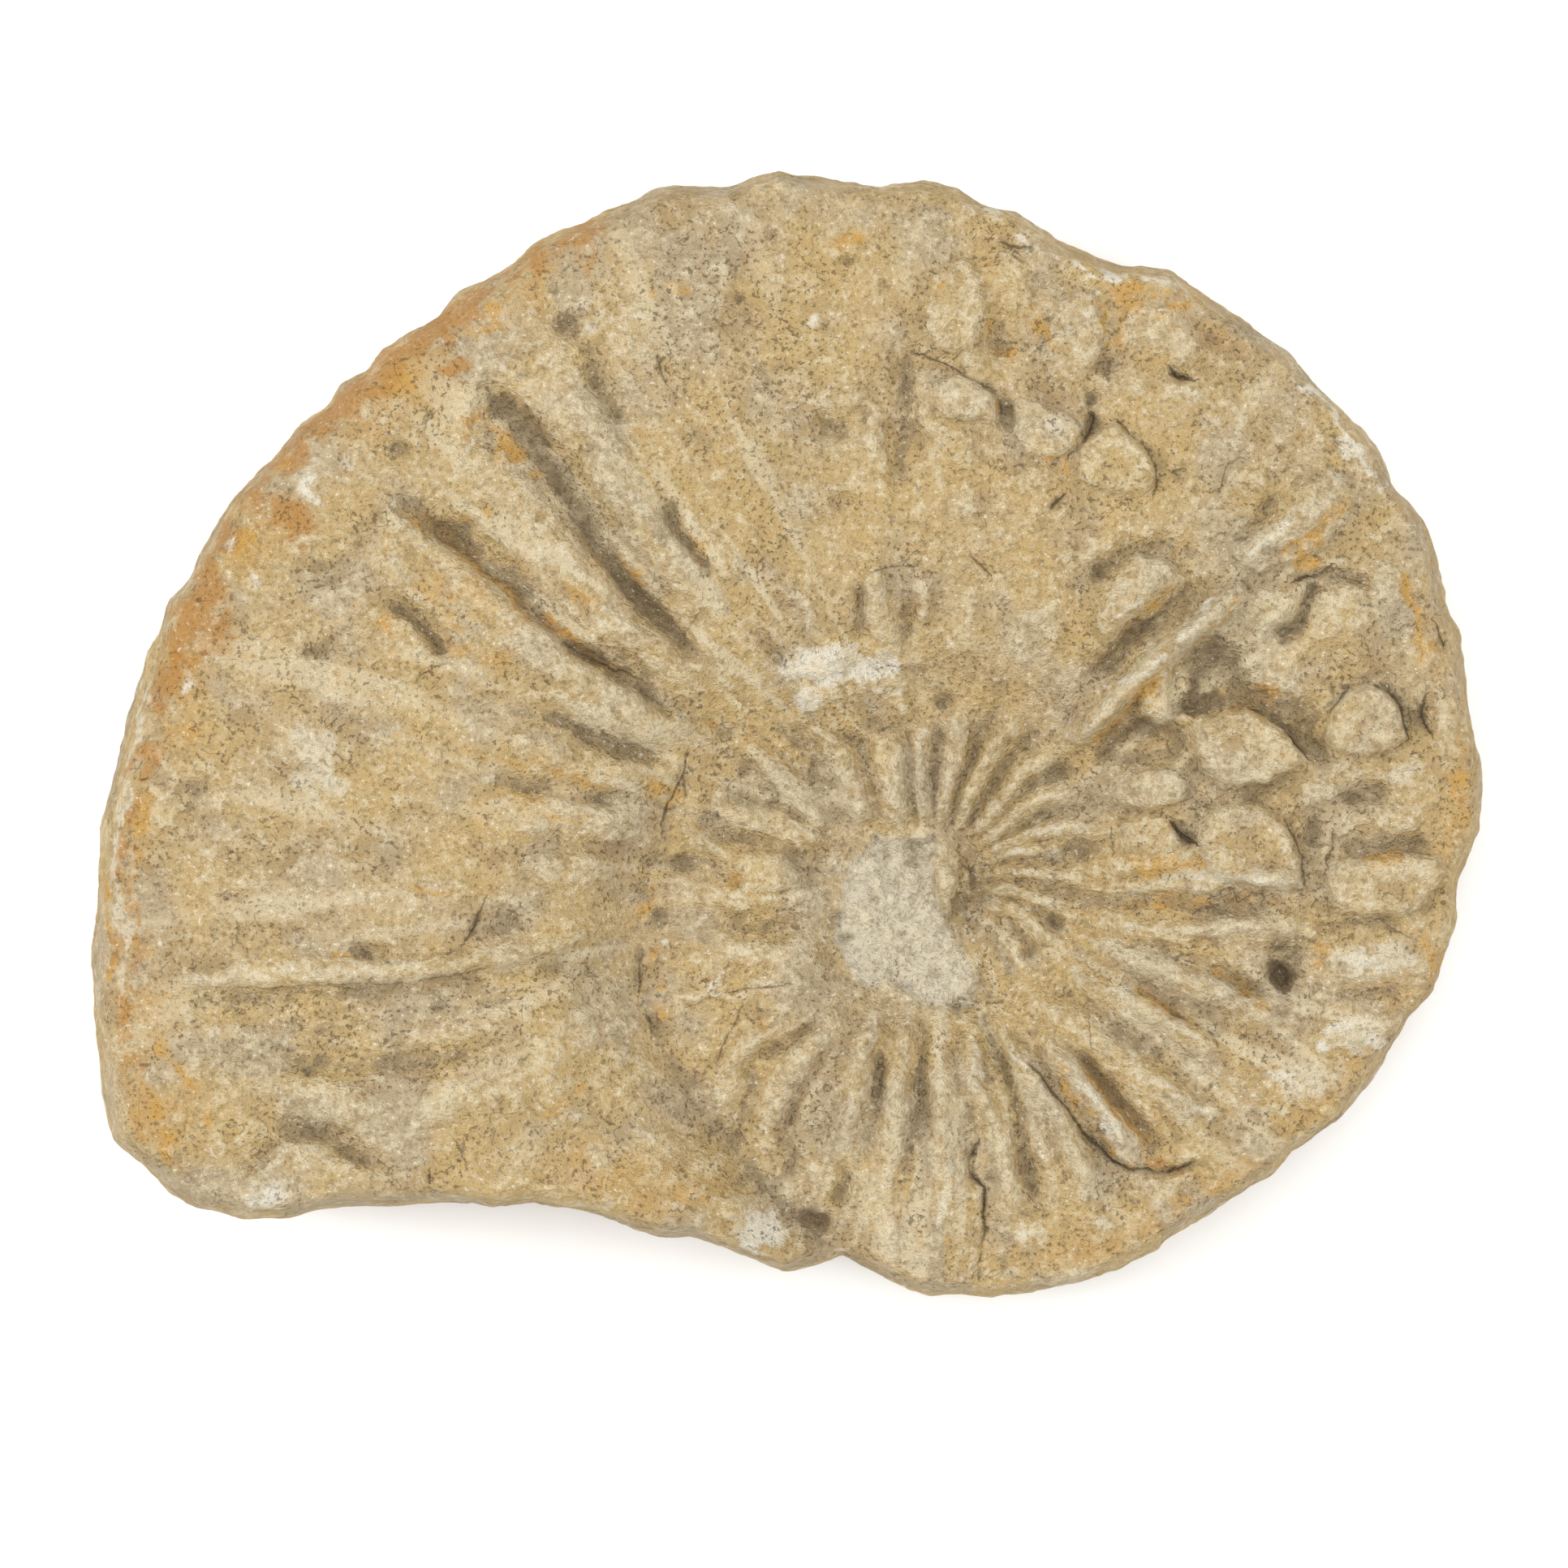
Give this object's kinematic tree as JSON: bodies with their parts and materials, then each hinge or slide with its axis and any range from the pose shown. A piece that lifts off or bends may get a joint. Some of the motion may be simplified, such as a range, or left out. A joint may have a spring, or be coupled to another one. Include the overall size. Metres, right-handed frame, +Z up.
{
  "type": "ammonite fossil",
  "caption": "Large coiled, ribbed fossil shell in pale tan limestone with a broken body chamber and a partly filled umbilicus, lying flat on its worn reverse side.",
  "frame": {"origin": "middle of the shell's bounding box, on the surface that it lies on", "axes": "+X along the longest breadth, away from the broken mouth's side; +Y across the coil, away from the mouth; +Z up out of the face"},
  "size_m": [0.2782, 0.2253, 0.075],
  "materials": {
    "limestone": "matt weathered limestone, pale tan with ochre, rust and cream patches and dirt in its grooves and pores"
  },
  "bodies": {
    "root": {"ammonite": "limestone"}
  },
  "joints": []
}
